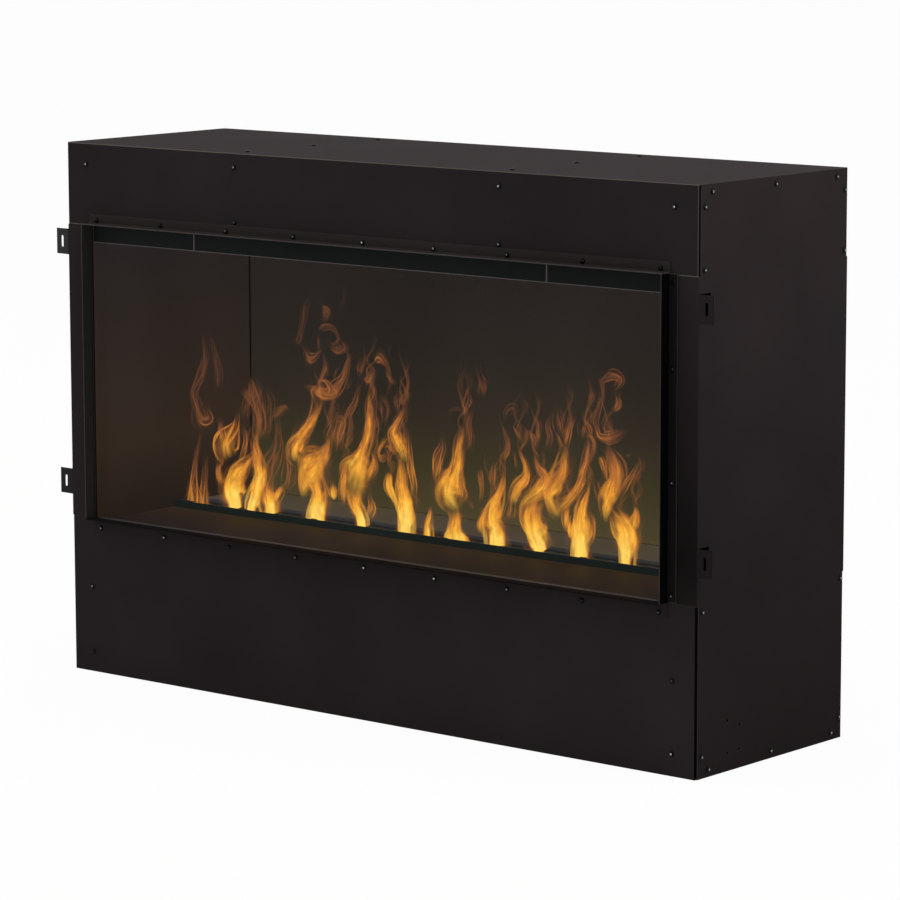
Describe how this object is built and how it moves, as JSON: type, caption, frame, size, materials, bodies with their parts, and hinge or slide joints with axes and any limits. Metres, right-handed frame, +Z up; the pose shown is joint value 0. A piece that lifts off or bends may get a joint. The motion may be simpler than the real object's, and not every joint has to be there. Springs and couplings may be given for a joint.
{
  "type": "built-in electric fireplace",
  "caption": "Black sheet-metal firebox for a wall opening: trim frame, lift-up glass pane and a lift-out cassette whose lit water vapour looks like flames.",
  "frame": {"origin": "bottom centre of the whole part, on the floor plane", "axes": "+X to the right of someone facing the fire, +Y back into the wall, +Z up"},
  "size_m": [1.1594, 0.3516, 0.7641],
  "materials": {
    "powder_coat": "matte black powder coat",
    "liner_paint": "matte black heat-proof paint",
    "trim_coat": "satin black powder coat",
    "valance_coat": "gloss black paint",
    "zinc_sheet": "zinc-plated sheet",
    "glass": "clear toughened glass",
    "black_plastic": "matte black",
    "grey_plastic": "matte grey",
    "rubber": "moulded black",
    "circuit_board": "green solder mask",
    "lens": "warm translucent",
    "brass": "machined"
  },
  "bodies": {
    "firebox": {"top_panel": "powder_coat", "bottom_panel": "powder_coat", "left_side_panel": "powder_coat", "right_side_panel": "powder_coat", "upper_front_panel": "powder_coat", "lower_front_panel": "powder_coat", "upper_rear_panel": "powder_coat", "lower_rear_panel": "powder_coat", "rear_center_panel": "liner_paint", "left_liner": "liner_paint", "right_liner": "liner_paint", "ceiling_liner": "liner_paint", "front_shelf": "liner_paint", "trim_top": "trim_coat", "trim_bottom": "trim_coat", "trim_left": "trim_coat", "trim_right": "trim_coat", "valance_left": "valance_coat", "valance_center": "valance_coat", "valance_right": "valance_coat", "left_brace": "zinc_sheet", "right_brace": "zinc_sheet", "terminal_box": "zinc_sheet", "glass_channel": "black_plastic", "cable_gland": "black_plastic", "terminal_block": "grey_plastic"},
    "cassette": {"cassette_foot_1": "rubber", "cassette_foot_2": "rubber", "cassette_foot_3": "rubber", "cassette_foot_4": "rubber", "cassette_housing": "black_plastic", "mist_outlet": "trim_coat", "rear_deck": "liner_paint", "water_sump": "black_plastic", "sump_lid": "black_plastic", "transducer_1": "grey_plastic", "transducer_2": "grey_plastic", "transducer_3": "grey_plastic", "transducer_4": "grey_plastic", "mist_duct": "black_plastic", "led_light_bar": "zinc_sheet", "led_lens": "lens", "left_fan_housing": "black_plastic", "right_fan_housing": "black_plastic", "float_stem": "grey_plastic", "inlet_valve": "brass", "control_box": "black_plastic", "control_panel": "black_plastic", "control_board": "circuit_board", "power_supply": "zinc_sheet"},
    "pane": {"glass_pane": "glass"},
    "left_fan": {"left_fan_impeller": "grey_plastic"},
    "right_fan": {"right_fan_impeller": "grey_plastic"},
    "float": {"float_ring": "black_plastic"},
    "rocker": {"power_switch": "black_plastic"},
    "mode_key": {"mode_button": "grey_plastic"},
    "flame_key": {"flame_button": "grey_plastic"}
  },
  "joints": [
    {"name": "pane_lift", "type": "slide", "parent": "firebox", "child": "pane", "axis": [0, 0, 1], "range_m": [0, 0.012]},
    {"name": "cassette_lift", "type": "slide", "parent": "firebox", "child": "cassette", "axis": [0, 0, 1], "range_m": [0, 0.2]},
    {"name": "left_fan_spin", "type": "hinge", "parent": "cassette", "child": "left_fan", "pos_m": [-0.445, 0.0144, 0.11], "axis": [0, 1, 0], "continuous": true},
    {"name": "right_fan_spin", "type": "hinge", "parent": "cassette", "child": "right_fan", "pos_m": [0.445, 0.0144, 0.11], "axis": [0, 1, 0], "continuous": true},
    {"name": "float_rise", "type": "slide", "parent": "cassette", "child": "float", "axis": [0, 0, 1], "range_m": [0, 0.02]},
    {"name": "power_rock", "type": "hinge", "parent": "cassette", "child": "rocker", "pos_m": [0.46, 0.1182, 0.1991], "axis": [1, 0, 0], "range_deg": [0, 20]},
    {"name": "mode_press", "type": "slide", "parent": "cassette", "child": "mode_key", "axis": [0, 0, -1], "range_m": [0, 0.002], "stiffness_N_per_m": 400, "springref_m": -0.0005},
    {"name": "flame_press", "type": "slide", "parent": "cassette", "child": "flame_key", "axis": [0, 0, -1], "range_m": [0, 0.002], "stiffness_N_per_m": 400, "springref_m": -0.0005}
  ]
}
